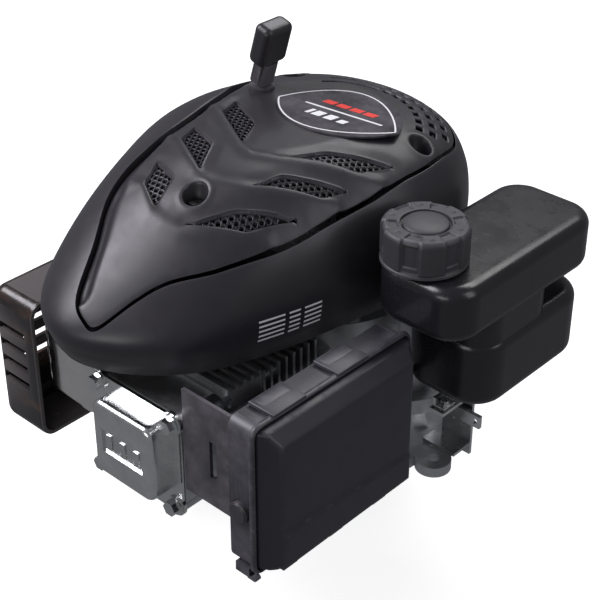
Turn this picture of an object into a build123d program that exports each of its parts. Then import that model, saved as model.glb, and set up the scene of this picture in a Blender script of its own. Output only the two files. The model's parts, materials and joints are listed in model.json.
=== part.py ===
from build123d import *
import math
import os

# Small vertical-shaft overhead-valve petrol engine, millimetres.
# The origin is on the crankshaft axis in the plane of the mounting face.
# +Z runs up the shaft, -Y towards the cylinder head, +X towards the air cleaner.

# ---- driving dimensions ---------------------------------------------------------
bore_radius = 30.5
crank_throw = 21.0
rod_length = 76.0
bore_z = 77.0
deck_y = -118.0
wall = 4.0
case_radius = 66.0
cam_x, cam_y = 38.0, 34.0
cam_case_radius = 43.0
sump_top = 40.0
case_top = 118.0
flange_radius = 92.0
flange_lip = 11.0
bolt_circle = 203.2
mount_hole_radius = 4.5
shaft_radius = 11.1
plug_radius = 6.9
shaft_length = 62.0
shaft_thread_radius = 4.2
shaft_thread_depth = 25.0
journal_radius = 13.0
web_radius = 31.0
web_low = (58.0, 67.0)
web_high = (87.0, 96.0)
gear_low, gear_high = 44.0, 52.0
running_gap = 0.05
clear = 0.4
flywheel_radius = 67.0
flywheel_z = 150.0
cover_face_y = -184.0
valve_cover_centre = (4.0, 77.0)
cover_bolt_dx, cover_bolt_dz = 68.0, 65.0
valve_x = 8.0
rocker_x = 22.5
pushrod_x = 37.0
valve_levels = {"intake": 91.0, "exhaust": 63.0}
rope_exit = (-66.0, 3.0)
pulley_radius = 38.0
grip_lean = 16.5
guide_seat_z = 235.0
cap_centre = (110.0, -34.0)
cap_radius = 28.5
tank_floor, tank_top = 86.0, 190.0
cap_top = 218.0
air_back_x, air_seam_x = 100.0, 118.0
air_sides = (-201.0, -58.0)
air_levels = (43.0, 155.0)
primer_centre = (109.0, 88.0)
primer_radius = 7.4
hinge_radius = 2.2
hinge_x, hinge_z = 119.4, 40.5
exhaust_port_z = 66.0
exhaust_bolt_levels = (48.0, 84.0)
intake_port_z = 88.0
hood_floor_z = 131.0
# Plan of the housing at its widest, anticlockwise from the nose.
hood_plan = [
    (-40, -214), (6, -200), (42, -163), (62, -110), (74, -52), (82, 0), (79, 46), (50, 87),
    (-4, 104), (-62, 92), (-104, 53), (-125, -8), (-125, -72), (-108, -134), (-82, -188),
]
# Each level: height, how far the nose reaches, how far the sides draw in.
hood_levels = [
    (131, 204, 9), (144, 211, 4), (160, 213, 1), (180, 194, 0),
    (202, 166, 3), (222, 136, 13), (235, 106, 32), (240, 80, 54),
]
# Places along the levels where the facets meet.
hood_rings = (0, 1, 2, 3, 3.5, 4, 4.5, 5, 5.5, 6, 6.5, 7)
hood_centre_x = -20.0
hood_crown_z = 240.0
# Plan of the joint between the housing and its top cover.
cover_plan = [
    (-19, -205), (-8, -202), (4, -181), (14, -165), (35, -139), (52, -105), (63, -59),
    (70, -10), (70, 29), (59, 62), (29, 81), (-14, 87), (-56, 77), (-84, 46), (-92, 8),
    (-84, -20), (-74, -64), (-70, -101), (-69, -124), (-63, -145), (-46, -171), (-33, -198),
]
cover_joint_low = 162.0
# How far each rib under the top cover's screws runs along X.
rib_spans = ((-130, 8), (49, 90), (-130, -62))
# Plans of the six vents: inner tip, rear corner, outer tip, front corner.
vent_plans = [
    [(-16, -67), (-32, -37), (-66, -22), (-60, -42)],
    [(-16, -105), (-31, -78), (-59, -68), (-54, -86)],
    [(-22, -139), (-28, -116), (-51, -109), (-44, -128)],
    [(14, -63), (28, -36), (63, -6), (53, -33)],
    [(18, -95), (25, -74), (58, -45), (52, -65)],
    [(1, -138), (21, -111), (52, -84), (35, -116)],
]

os.makedirs("parts", exist_ok=True)


# ---- shape helpers --------------------------------------------------------------
def block(x0, x1, y0, y1, z0, z1):
    """A box between two corners."""
    centre = ((x0 + x1) / 2, (y0 + y1) / 2, (z0 + z1) / 2)
    return Pos(*centre) * Box(x1 - x0, y1 - y0, z1 - z0)


def post(x, y, z0, z1, radius):
    """A cylinder along Z."""
    return Pos(x, y, (z0 + z1) / 2) * Cylinder(radius, z1 - z0)


def bar_y(x, z, y0, y1, radius):
    """A cylinder along Y."""
    return Pos(x, (y0 + y1) / 2, z) * Rot(90, 0, 0) * Cylinder(radius, y1 - y0)


def bar_x(y, z, x0, x1, radius):
    """A cylinder along X."""
    return Pos((x0 + x1) / 2, y, z) * Rot(0, 90, 0) * Cylinder(radius, x1 - x0)


def soft_block(x0, x1, y0, y1, z0, z1, radius):
    """A box with every edge rounded."""
    shape = block(x0, x1, y0, y1, z0, z1)
    return fillet(shape.edges(), radius)


def pillow(x0, x1, y0, y1, z0, z1, corner, edge):
    """A box with large upright corners and smaller rounds above and below."""
    shape = block(x0, x1, y0, y1, z0, z1)
    shape = fillet(shape.edges().filter_by(Axis.Z), corner)
    rims = shape.edges().group_by(Axis.Z)
    shape = fillet(list(rims[0]) + list(rims[-1]), edge)
    return shape


def hex_bolt(radius, length, head_radius, head_height):
    """A flange bolt standing on the XY plane, its shank along -Z."""
    shank = Pos(0, 0, -length / 2) * Cylinder(radius, length)
    washer = Pos(0, 0, 0.75) * Cylinder(head_radius * 1.25, 1.5)
    head = extrude(RegularPolygon(head_radius, 6), head_height)
    return shank + washer + head


def save(name, *shapes):
    """Write one node; several shapes stay separate solids."""
    solids = [solid for shape in shapes for solid in shape.solids()]
    shape = solids[0] if len(solids) == 1 else Compound(children=solids)
    export_step(shape, f"parts/{name}.step")


def case_plan(inset, z0, z1):
    """The plan of the crankcase: the crank chamber and the cam bulge beside it."""
    body = post(0, 0, z0, z1, case_radius - inset)
    bulge = post(cam_x, cam_y, z0, z1, cam_case_radius - inset)
    return body + bulge


def ears(z0, z1, radius):
    """Three mounting ears on the bolt circle."""
    shapes = []
    for turn in range(3):
        angle = math.radians(120 * turn)
        x = bolt_circle / 2 * math.cos(angle)
        y = bolt_circle / 2 * math.sin(angle)
        shapes.append(post(x, y, z0, z1, radius))
    return shapes


# ---- crankcase, sump and cylinder -----------------------------------------------
def sump():
    plate = post(0, 0, 0, 8, flange_radius)
    for ear in ears(0, 8, 13):
        plate = plate + ear
    for hole in ears(-1, 9, mount_hole_radius):
        plate = plate - hole
    cup = case_plan(0, 7, sump_top)
    flange = case_plan(-flange_lip, sump_top - 6, sump_top)
    hollow = case_plan(wall, 8, sump_top + 1)
    boss = post(0, 0, 7, 36, 24) + post(cam_x, cam_y, 7, 30, 12)
    bores = post(0, 0, -1, 37, 17.0) + post(cam_x, cam_y, 14, 31, 5 + running_gap)
    seal_seat = post(0, 0, -1, 8, 18.0)
    body = plate + cup + flange - hollow + boss - bores - seal_seat
    for angle in case_bolt_angles():
        x, y = case_bolt_place(angle)
        body = body - post(x, y, sump_top - 12, sump_top + 1, 3.2)
    return body


def case_bolt_angles():
    """Directions of the seven bolts that hold the sump, clear of the cam bulge."""
    return [100, 125, 160, 195, 230, 310, 340]


def case_bolt_place(angle):
    reach = case_radius + 6.2
    return reach * math.cos(math.radians(angle)), reach * math.sin(math.radians(angle))


def crankcase():
    walls = case_plan(0, sump_top, case_top)
    flange = case_plan(-flange_lip, sump_top, sump_top + 6)
    barrel = bar_y(0, bore_z, deck_y, -30, 38)
    gallery = block(20, 46, deck_y, -30, bore_z - 22, bore_z + 22)
    fins = [block(-46, 50, y, y + 2, bore_z - 44, bore_z + 42) for y in range(-118, -68, 7)]
    body = walls + flange + barrel + gallery
    for fin in fins:
        body = body + fin
    body = body - block(-60, 60, -130, -50, 20, sump_top)
    body = body - case_plan(wall, sump_top - 1, case_top - 6)
    body = body + post(0, 0, 100, 134, 27) - post(0, 0, 99, 135, 21)
    body = body + post(cam_x, cam_y, 98, case_top - 2, 11) - post(cam_x, cam_y, 97, 112, 5 + running_gap)
    body = body - bar_y(0, bore_z, deck_y - 1, -40, bore_radius)
    for level in valve_levels.values():
        body = body - bar_y(pushrod_x, level, deck_y - 1, -20, 2.9)
    for x, z in head_bolt_places():
        body = body - bar_y(x, z, deck_y - 1, deck_y + 20, 3.2)
    for angle in case_bolt_angles():
        x, y = case_bolt_place(angle)
        body = body - post(x, y, sump_top - 1, sump_top + 7, 3.2)
    for x, y in hood_post_places():
        body = body + post(x, y, case_top - 8, hood_floor_z + 1.5, 6)
        body = body - post(x, y, hood_floor_z - 14, 140, 2.6)
    return body


def head_bolt_places():
    return [(x, bore_z + dz) for x in (-36, 44) for dz in (-32, 32)]


def hood_post_places():
    return [(-50, -30), (-30, 46), (50, -30)]


def gaskets():
    """Sump, head, valve cover, exhaust and intake gaskets as separate sheets."""
    head = block(-42, 50, deck_y - 1.2, deck_y, bore_z - 40, bore_z + 40)
    head = head - bar_y(0, bore_z, deck_y - 2, deck_y + 1, bore_radius + 0.5)
    for x, z in head_bolt_places():
        head = head - bar_y(x, z, deck_y - 2, deck_y + 1, 3.4)
    for level in valve_levels.values():
        head = head - bar_y(pushrod_x, level, deck_y - 2, deck_y + 1, 3.2)
    rocker = rocker_box_plan(0, cover_face_y - 1.0, cover_face_y)
    rocker = rocker - rocker_box_plan(4, cover_face_y - 2, cover_face_y + 1)
    for px, pz in cover_bolt_places():
        rocker = rocker - bar_y(px, pz, cover_face_y - 2, cover_face_y + 1, 3.2)
    exhaust = block(-47.2, -46, -146, -122, 42, 90) - bar_x(-134, exhaust_port_z, -48, -45, 9)
    for z in exhaust_bolt_levels:
        exhaust = exhaust - bar_x(-134, z, -48, -45, 3.2)
    intake = bar_x(-134, intake_port_z, 50, 51.0, 15) - bar_x(-134, intake_port_z, 49, 52, 8)
    return [head, rocker, exhaust, intake]


def rocker_box_plan(inset, y0, y1):
    x, z = valve_cover_centre
    half_x = 40 - inset
    half_z = 38 - inset
    shape = block(x - half_x, x + half_x, y0, y1, z - half_z, z + half_z)
    return fillet(shape.edges().filter_by(Axis.Y), 9 - inset * 0.9)


def cylinder_head():
    y_low = deck_y - 1.2
    body = block(-42, 50, -154, y_low, bore_z - 40, bore_z + 40)
    for y in range(-150, -121, 7):
        body = body + block(-46, 50, y, y + 2.2, bore_z - 44, bore_z + 44)
    body = body + rocker_box_plan(0, cover_face_y, -153) - rocker_box_plan(4, cover_face_y - 1, -158)
    body = body - bar_y(0, bore_z, y_low - 5, y_low + 1, 28)
    for name, level in valve_levels.items():
        seat = 11.0 if name == "intake" else 9.6
        body = body - bar_y(valve_x, level, -138, y_low, seat)
        body = body - bar_y(valve_x, level, -160, -130, 2.5 + running_gap)
        body = body - bar_y(pushrod_x, level, -160, y_low + 1, 2.9)
    body = body - bar_x(-134, exhaust_port_z, -47, 8, 8.5)
    body = body + block(-46, -40, -146, -122, 42, 90) - bar_x(-134, exhaust_port_z, -47, 8, 8.5)
    for z in exhaust_bolt_levels:
        body = body - bar_x(-134, z, -47, -36, 3.0)
    body = body - bar_x(-134, intake_port_z, 8, 51, 7.5)
    for x, z in head_bolt_places():
        body = body - bar_y(x, z, -156, y_low + 1, 3.2)
        body = body - bar_y(x, z, -160, -146, 7.5)
    body = body - plug_place() * Pos(0, 0, -10) * Cylinder(plug_radius, 24)
    body = body - plug_place() * Pos(0, 0, 14) * Cylinder(12.5, 28)
    for px, pz in cover_bolt_places():
        body = body + bar_y(px, pz, cover_face_y, -166, 6.5)
        body = body - bar_y(px, pz, cover_face_y - 1, -168, 2.6)
    for z0, z1 in ((50, 56.6), (69.4, 84.6), (97.4, 104)):
        body = body + block(rocker_x - 5, rocker_x + 5, -175, -157, z0, z1)
    return body - rocker_shaft()


def rocker_shaft():
    return post(rocker_x, -170, 50, 104, 3.0)


def plug_place():
    """Seat of the spark plug, leaning out of the top of the head."""
    return Pos(-10, -136, 112) * Rot(0, -20, 0)


def crankshaft():
    lower = post(0, 0, -shaft_length, 0, shaft_radius) + post(0, 0, 0, 58, journal_radius)
    upper = post(0, 0, 96, 136, 12.5) + post(0, 0, 136, 178, 10) + post(0, 0, 178, 192, 6)
    webs = post(0, 0, *web_low, web_radius) + post(0, 0, *web_high, web_radius)
    keyway = block(shaft_radius - 2.4, shaft_radius + 1, -2.4, 2.4, -shaft_length, -12)
    thread = post(0, 0, -shaft_length - 1, -shaft_length + shaft_thread_depth, shaft_thread_radius)
    gear = post(0, 0, gear_low, gear_high, 16.6)
    for tooth in range(22):
        gear = gear - Rot(0, 0, tooth * 360 / 22) * post(17.6, 0, gear_low - 1, gear_high + 1, 1.7)
    lower_body = lower - keyway - thread
    body = lower_body + webs + upper + gear
    return [body]


def crankpin():
    return post(0, -crank_throw, web_low[1] + clear, web_high[0] - clear, 9.0)


def connecting_rod():
    z0, z1 = bore_z - 6, bore_z + 6
    wrist_y = -crank_throw - rod_length
    big_end = post(0, -crank_throw, z0, z1, 15.5)
    small_end = post(0, wrist_y, z0, z1, 9.5)
    beam = block(-6, 6, wrist_y + 6, -crank_throw - 12, z0 + 2, z1 - 2)
    beam = beam - block(3.2, 7, wrist_y + 12, -crank_throw - 18, z0, z1)
    beam = beam - block(-7, -3.2, wrist_y + 12, -crank_throw - 18, z0, z1)
    rod = big_end + small_end + beam
    rod = rod - post(0, -crank_throw, z0 - 1, z1 + 1, 9.0 + running_gap)
    rod = rod - post(0, wrist_y, z0 - 1, z1 + 1, 6.0 + running_gap)
    upper = rod - block(-30, 30, -crank_throw, 40, 0, 200)
    cap = rod & block(-30, 30, -crank_throw + 0.2, 40, 0, 200)
    return [upper, cap]


def piston():
    wrist_y = -crank_throw - rod_length
    crown_y = deck_y + 1.0
    body = bar_y(0, bore_z, crown_y, crown_y + 37, bore_radius - 0.06)
    body = body - bar_y(0, bore_z, crown_y + 6, crown_y + 40, bore_radius - 4)
    bosses = block(-9, 9, wrist_y - 10, wrist_y + 9, bore_z - 27, bore_z + 27)
    bosses = bosses - block(-12, 12, -140, -50, bore_z - 7, bore_z + 7)
    body = body + bosses
    body = body - post(0, wrist_y, bore_z - 40, bore_z + 40, 6.0)
    for groove in (3.0, 6.5, 10.0):
        ring = bar_y(0, bore_z, crown_y + groove, crown_y + groove + 1.6, 40)
        ring = ring - bar_y(0, bore_z, crown_y + groove - 1, crown_y + groove + 3, bore_radius - 2.4)
        if groove < 9:
            body = body - ring
    for level in valve_levels.values():
        body = body - bar_y(valve_x, level, crown_y - 1, crown_y + 0.9, 12)
    return body


def piston_rings():
    crown_y = deck_y + 1.0
    rings = []
    for groove in (3.0, 6.5):
        ring = bar_y(0, bore_z, crown_y + groove + 0.1, crown_y + groove + 1.5, bore_radius - 0.03)
        ring = ring - bar_y(0, bore_z, crown_y + groove - 1, crown_y + groove + 3, bore_radius - 2.3)
        gap = block(-0.6, 0.6, crown_y, crown_y + 12, bore_z + 20, bore_z + 40)
        rings.append(ring - gap)
    return rings


def camshaft():
    body = post(cam_x, cam_y, 15, 111, 5)
    gear = post(cam_x, cam_y, gear_low, gear_high, 33.2)
    for tooth in range(44):
        notch = Rot(0, 0, tooth * 360 / 44) * post(34.2, 0, gear_low - 1, gear_high + 1, 1.7)
        gear = gear - Pos(cam_x, cam_y, 0) * notch
    for turn in range(6):
        hole = Rot(0, 0, turn * 60) * post(20, 0, gear_low - 1, gear_high + 1, 6)
        gear = gear - Pos(cam_x, cam_y, 0) * hole
    body = body + gear
    for level, angle in ((valve_levels["exhaust"], 40), (valve_levels["intake"], 150)):
        base = post(cam_x, cam_y, level - 4, level + 4, 8)
        nose = Pos(cam_x, cam_y, 0) * Rot(0, 0, angle) * post(8.5, 0, level - 4, level + 4, 4)
        body = body + base + nose
    return body


def pushrod(name):
    """Tappet and pushrod, the tappet's foot clear of the cam nose."""
    level = valve_levels[name]
    tappet_foot = cam_y - 13.0
    tappet = bar_y(pushrod_x, level, tappet_foot - 4, tappet_foot, 4.2)
    tappet = tappet + bar_y(pushrod_x, level, tappet_foot - 12, tappet_foot - 4, 2.4)
    rod = bar_y(pushrod_x, level, -164.0, tappet_foot - 12, 1.8)
    rod = rod + Pos(pushrod_x, -164.0, level) * Sphere(2.2)
    return tappet + rod


def rocker(name):
    level = valve_levels[name]
    arm = block(valve_x - 4, pushrod_x + 2.4, -173.5, -169.5, level - 4, level + 4)
    hub = post(rocker_x, -170, level - 6, level + 6, 6)
    pad = bar_y(valve_x, level, -171, -167.6, 2.0)
    cup = bar_y(pushrod_x - 0.4, level, -171, -168.8, 2.6)
    return arm + hub + pad + cup - post(rocker_x, -170, 40, 120, 3.0 + running_gap)


def valve(name):
    level = valve_levels[name]
    head_radius = 11.2 if name == "intake" else 10.2
    stem = bar_y(valve_x, level, -167.0, -122, 2.5)
    face = bar_y(valve_x, level, -122.6, -120.6, head_radius)
    keeper = bar_y(valve_x, level, -165.0, -162.6, 8)
    return stem + face + keeper


def valve_spring(name):
    level = valve_levels[name]
    ring = bar_y(valve_x, level, -162.4, -158.2, 7) - bar_y(valve_x, level, -164, -157, 4.2)
    return ring


def valve_cover():
    y0 = cover_face_y - 1.0
    flange = rocker_box_plan(0, y0 - 2.4, y0)
    x, z = valve_cover_centre
    dome = block(x - 28, x + 28, y0 - 16, y0 - 1, z - 29, z + 29)
    dome = fillet(dome.edges().filter_by(Axis.Y), 8)
    dome = fillet(dome.faces().sort_by(Axis.Y)[0].edges(), 4)
    panel = block(x - 19, x + 19, y0 - 17, y0 - 14.6, z - 9, z + 9)
    hollow = block(x - 26, x + 26, y0 - 13, y0 + 1, z - 27, z + 27)
    hollow = fillet(hollow.edges().filter_by(Axis.Y), 6)
    cover = flange + dome - panel - hollow
    for px, pz in cover_bolt_places():
        cover = cover + bar_y(px, pz, y0 - 2.4, y0, 8)
    for px, pz in cover_bolt_places():
        cover = cover - bar_y(px, pz, y0 - 4, y0 + 1, 3.2)
    return cover


def cover_bolt_places():
    x, z = valve_cover_centre
    signs = ((-1, -1), (-1, 1), (1, -1), (1, 1))
    return [(x + sx * cover_bolt_dx / 2, z + sz * cover_bolt_dz / 2) for sx, sz in signs]


def valve_cover_bolts():
    seat_y = cover_face_y - 3.4
    bolts = []
    for px, pz in cover_bolt_places():
        bolts.append(Pos(px, seat_y, pz) * Rot(90, 0, 0) * hex_bolt(2.6, 16, 5.4, 6.5))
    return bolts


def flange_bolts():
    bolts = []
    for angle in case_bolt_angles():
        x, y = case_bolt_place(angle)
        bolts.append(Pos(x, y, sump_top - 6) * Rot(180, 0, 0) * hex_bolt(3.2, 12, 4.6, 4.5))
    for x, z in head_bolt_places():
        bolts.append(Pos(x, -146, z) * Rot(90, 0, 0) * hex_bolt(3.2, 44, 5.2, 6))
    return bolts


# ---- flywheel end ---------------------------------------------------------------
def flywheel():
    hub = post(0, 0, flywheel_z - 12, 178, 20)
    disc = post(0, 0, flywheel_z, flywheel_z + 7, flywheel_radius)
    rim = post(0, 0, flywheel_z, flywheel_z + 20, flywheel_radius)
    rim = rim - post(0, 0, flywheel_z + 6, flywheel_z + 21, 50)
    body = hub + disc + rim
    for blade in range(16):
        fin = block(46, flywheel_radius, -1.6, 1.6, flywheel_z + 18, flywheel_z + 42)
        body = body + Rot(0, 0, blade * 22.5) * fin
    return body - post(0, 0, flywheel_z - 20, 190, 10)


def starter_cup():
    cup = post(0, 0, 178.2, 200, 33) - post(0, 0, 180.5, 201, 30.5)
    cup = cup - post(0, 0, 170, 190, 6.2)
    for turn in range(6):
        window = Rot(0, 0, turn * 60) * block(25, 40, -6, 6, 184, 194)
        cup = cup - window
    return cup


def flywheel_nut():
    nut = Pos(0, 0, 180.6) * extrude(RegularPolygon(13, 6), 10)
    return nut - post(0, 0, 170, 200, 6.0)


def starter_pulley():
    z0, z1 = 206.0, 219.0
    body = post(0, 0, z0, z0 + 2.5, pulley_radius + 8) + post(0, 0, z0, z1, pulley_radius - 3)
    body = body + post(0, 0, z1 - 2.5, z1, pulley_radius + 8)
    hub = post(0, 0, 193.5, z0 + 1, 12) - post(0, 0, 190, 203, 8.5)
    body = body + hub - post(0, 0, z0 + 3, z1 + 1, 27)
    return body + post(0, 0, z0 + 3, z1, 9) - post(0, 0, z0 + 4, z1 + 1, 6 + running_gap)


def rope_coil():
    coil = post(0, 0, 208.7, 216.3, pulley_radius + 2) - post(0, 0, 208, 217, pulley_radius - 2.9)
    return coil


def recoil_spring():
    spring = post(0, 0, 210.5, 217.5, 24) - post(0, 0, 210, 218, 13)
    return spring


# ---- blower housing and top cover ----------------------------------------------
def curve_point(points, place, closed):
    """Where a smooth curve through the points is, at a place counted in points."""
    first = math.floor(place)
    part = place - first
    near = []
    for index in range(first - 1, first + 3):
        held = min(max(index, 0), len(points) - 1)
        near.append(points[index % len(points)] if closed else points[held])
    found = []
    for before, start, end, after in zip(*near):
        bend = 2 * before - 5 * start + 4 * end - after
        twist = 3 * start - before - 3 * end + after
        found.append(start + 0.5 * part * (end - before + part * (bend + part * twist)))
    return found


def hood_ring(place, skin, drop):
    """The housing's outline at one level, as corner points."""
    z, nose, inset = curve_point(hood_levels, place, False)
    level = z - drop if z > 140 else z - skin * 0.4
    reach = (nose - skin * 1.3) / 214
    side = 1 - (inset + skin) / 104
    ring = []
    for step in range(2 * len(hood_plan)):
        x, y = curve_point(hood_plan, step / 2, True)
        ring.append((hood_centre_x + (x - hood_centre_x) * side, y * (reach if y < 0 else side), level))
    return ring


def facet(*corners):
    return Face(Wire.make_polygon([Vector(*corner) for corner in corners]))


def hood_solid(skin, drop):
    """The housing as a full solid of flat facets, its faces drawn in by the skin thickness."""
    rings = [hood_ring(place, skin, drop) for place in hood_rings]
    faces = [facet(*rings[0]), facet(*rings[-1])]
    for low, high in zip(rings, rings[1:]):
        for here in range(len(low)):
            following = (here + 1) % len(low)
            faces.append(facet(low[here], low[following], high[following]))
            faces.append(facet(low[here], high[following], high[here]))
    return Solid(Shell(faces))


def cover_prism(gap):
    shrink_x = 1 - gap / 85
    shrink_y = 1 - gap / 130
    corners = []
    for step in range(2 * len(cover_plan)):
        x, y = curve_point(cover_plan, step / 2, True)
        corners.append((-12 + (x + 12) * shrink_x, -50 + (y + 50) * shrink_y, cover_joint_low))
    return extrude(facet(*corners), 100, dir=(0, 0, 1))


def hood_shell():
    return hood_solid(0, 0) - hood_solid(3.0, 3.0)


def blower_housing(shell):
    core = hood_solid(1.5, 1.5)
    floor = block(-150, 110, -230, 130, hood_floor_z + 1.5, hood_floor_z + 4.0) & core
    floor = floor - post(0, 0, 120, 140, 40) - post(-17, -136, 120, 140, 15)
    for x, y in hood_post_places():
        floor = floor - post(x, y, 120, 140, 2.6)
    body = (shell - cover_prism(0)) + floor
    for (x, y, z), (x0, x1) in zip(cover_screw_places(), rib_spans):
        rib = block(x0, x1, y - 7, y + 7, z - 8, z - 3.5) & core
        body = body + (rib - post(x, y, z - 10, z, 2.5))
    return body


def top_cover(shell):
    cover = shell & cover_prism(2.0)
    for plan in vent_plans:
        cover = cover - extrude(facet(*[(x, y, 180) for x, y in plan]), 80, dir=(0, 0, 1))
    cover = cover - post(*rope_exit, 200, 260, 9) - post(*rope_exit, guide_seat_z, 260, 15)
    cover = cover + post(0, 0, 213, hood_crown_z - 2, 6.0) + post(0, 0, 221, hood_crown_z - 2, 30)
    for x, y, z in cover_screw_places():
        cup = post(x, y, z - 3, z + 30, 9.5) & hood_solid(1.4, 1.4)
        cover = cover - post(x, y, z - 4, 260, 7.5)
        cover = cover + (cup - post(x, y, z, 260, 7.0) - post(x, y, z - 5, z + 2, 2.5))
    for radius in (58, 70):
        arc = post(0, 0, 200, 260, radius + 2.5) - post(0, 0, 199, 261, radius - 2.5)
        cover = cover - (arc & block(-45, 50, 20, 90, 190, 250))
    return cover


def cover_screw_places():
    return [(-6, -119, 217), (58, 24, 216), (-70, 40, 216)]


def cover_screws():
    return [Pos(x, y, z) * hex_bolt(2.5, 8, 4.4, 4.5) for x, y, z in cover_screw_places()]


def label_plate():
    """A lens-shaped plate let into the top of the cover."""
    left, right = (-48, -1), (50, 10)
    front = ThreePointArc(left, (-2, -24), right)
    rear = ThreePointArc(right, (-6, 43), left)
    face = make_face(Curve() + [front, rear])
    return Pos(0, 0, hood_crown_z) * extrude(face, 1.2)


def grip_place():
    return Pos(rope_exit[0], rope_exit[1], 246.5) * Rot(0, grip_lean, 0)


def rope_guide():
    x, y = rope_exit
    guide = post(x, y, 223, 242.5, 9) + post(x, y, guide_seat_z, guide_seat_z + 3, 15)
    return guide - post(x, y, 220, 246, 3.4)


def starter_grip():
    stem = Pos(0, 0, 8) * Box(13, 15, 17)
    head = Pos(0, 0, 31.5) * Box(15, 26, 31)
    grip = fillet(stem.edges().filter_by(Axis.Z), 4) + fillet(head.edges(), 5)
    grip = grip - Pos(0, 0, 10) * Cylinder(2.6, 40)
    return grip_place() * grip


def starter_rope():
    """The rope's fixed run, from beside the wound coil out through the guide."""
    x, y = rope_exit
    reach = math.hypot(x, y)
    rope_r = pulley_radius + 0.5
    tangent = math.sqrt(reach ** 2 - rope_r ** 2)
    turn = math.atan2(y, x) + math.acos(rope_r / reach)
    start = (rope_r * math.cos(turn), rope_r * math.sin(turn))
    part = 19.0 / tangent
    begin = (start[0] + (x - start[0]) * part, start[1] + (y - start[1]) * part)
    route = [(begin[0], begin[1], 212.5), (x, y, 212.5), (x, y, 243.5)]
    path = FilletPolyline(*route, radius=6)
    return sweep(Plane(origin=route[0], z_dir=path % 0) * Circle(2.0), path=path)


def rope_knot():
    return grip_place() * (Pos(0, 0, 15) * Cylinder(2.4, 26) + Pos(0, 0, 27) * Sphere(2.55))


# ---- muffler side ---------------------------------------------------------------
def muffler():
    can = soft_block(-116, -64, -168, -72, 48, 112, 9)
    pipe = bar_x(-134, exhaust_port_z, -66, -47.2, 10.5)
    flange = block(-51, -47.2, -146, -122, 42, 90)
    for z in exhaust_bolt_levels:
        flange = flange - bar_x(-134, z, -60, -40, 3.0)
    inside = soft_block(-114, -66, -166, -74, 50, 110, 7)
    boss = post(-78, -140, 111, 121, 6) - post(-78, -140, 113, 122, 3.0)
    return (can - inside) + pipe + flange + boss - bar_x(-134, exhaust_port_z, -90, -40, 8)


def muffler_guard():
    outer = soft_block(-158, -104, -178, -58, 12, 124, 11)
    inner = soft_block(-155, -90, -175, -61, 15, 121, 9)
    guard = outer - inner - block(-112, -90, -200, 0, 0, 200)
    for level in range(4):
        z = 50 + level * 14
        guard = guard - block(-150, -122, -185, -170, z, z + 6)
        guard = guard - block(-165, -150, -160, -80, z, z + 6)
    tab = block(-118, -68, -150, -130, 121, 123.5) - post(-78, -140, 118, 126, 3.2)
    return guard + tab


def exhaust_bolts():
    bolts = []
    for z in exhaust_bolt_levels:
        bolts.append(Pos(-51, -134, z) * Rot(0, -90, 0) * hex_bolt(3.0, 9, 4.8, 5))
    bolts.append(Pos(-78, -140, 123.5) * hex_bolt(3.0, 10, 5.2, 5))
    return bolts


# ---- intake side ----------------------------------------------------------------
def intake_insulator():
    plate = block(51, 57, -152, -116, 72, 104)
    return plate - bar_x(-134, intake_port_z, 50, 58, 7.5)


def carburetor():
    body = block(57, 66, -154, -114, 70, 108) + bar_x(-134, intake_port_z, 57, 70, 13)
    bowl = post(60, -134, 44, 70, 15) & block(52, 69.6, -160, -110, 44, 72)
    shape = body + bowl - bar_x(-134, intake_port_z, 56, 71, 8)
    inlet = bar_y(62, 98, -115, -104, 2.5) + block(58, 66, -116, -112, 94, 102)
    return shape + inlet


def air_base():
    """The case behind the filter, with the duct that leads to the carburettor."""
    y0, y1 = air_sides
    z0, z1 = air_levels
    case = block(air_back_x, air_seam_x, y0 + 2, y1 - 2, z0 + 2, z1 - 2)
    case = fillet(case.edges().filter_by(Axis.X), 8)
    hollow = block(air_back_x + 3, air_seam_x + 1, y0 + 5, y1 - 5, z0 + 5, z1 - 5)
    hollow = fillet(hollow.edges().filter_by(Axis.X), 5)
    duct = bar_x(-134, intake_port_z, 70, air_back_x + 1, 11)
    case = (case - hollow) + duct - bar_x(-134, intake_port_z, 69, air_back_x + 4, 8)
    x, z = primer_centre
    socket = bar_y(x, z, y0 + 2, y0 + 14, primer_radius + 1.6)
    case = case + socket - bar_y(x, z, y0 - 2, y0 + 12, primer_radius + 0.3)
    for y in (y0 + 14, y1 - 18):
        case = case + block(air_seam_x - 14, air_seam_x - 2.6, y - 12.4, y + 12.4, z0 - 4, z0 + 3)
        for end in (y - 12.4, y + 8.4):
            case = case + block(air_seam_x - 4, hinge_x, end, end + 4, hinge_z - hinge_radius, hinge_z)
            case = case + bar_y(hinge_x, hinge_z, end, end + 4, hinge_radius)
    return case


def primer_button():
    x, z = primer_centre
    disc = bar_y(x, z, air_sides[0] - 1.5, air_sides[0] + 7, primer_radius)
    return chamfer(disc.edges().group_by(Axis.Y)[0], 1.2)


def air_filter():
    y0, y1 = air_sides
    z0, z1 = air_levels
    back = air_back_x + 3
    pleats = block(back, air_seam_x - 1.5, y0 + 16, y1 - 8, z0 + 8, z1 - 8)
    for step in range(13):
        y = y0 + 20 + step * 9
        pleats = pleats - block(back + 6, air_seam_x, y, y + 4, z0 + 12, z1 - 12)
    return pleats


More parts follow.
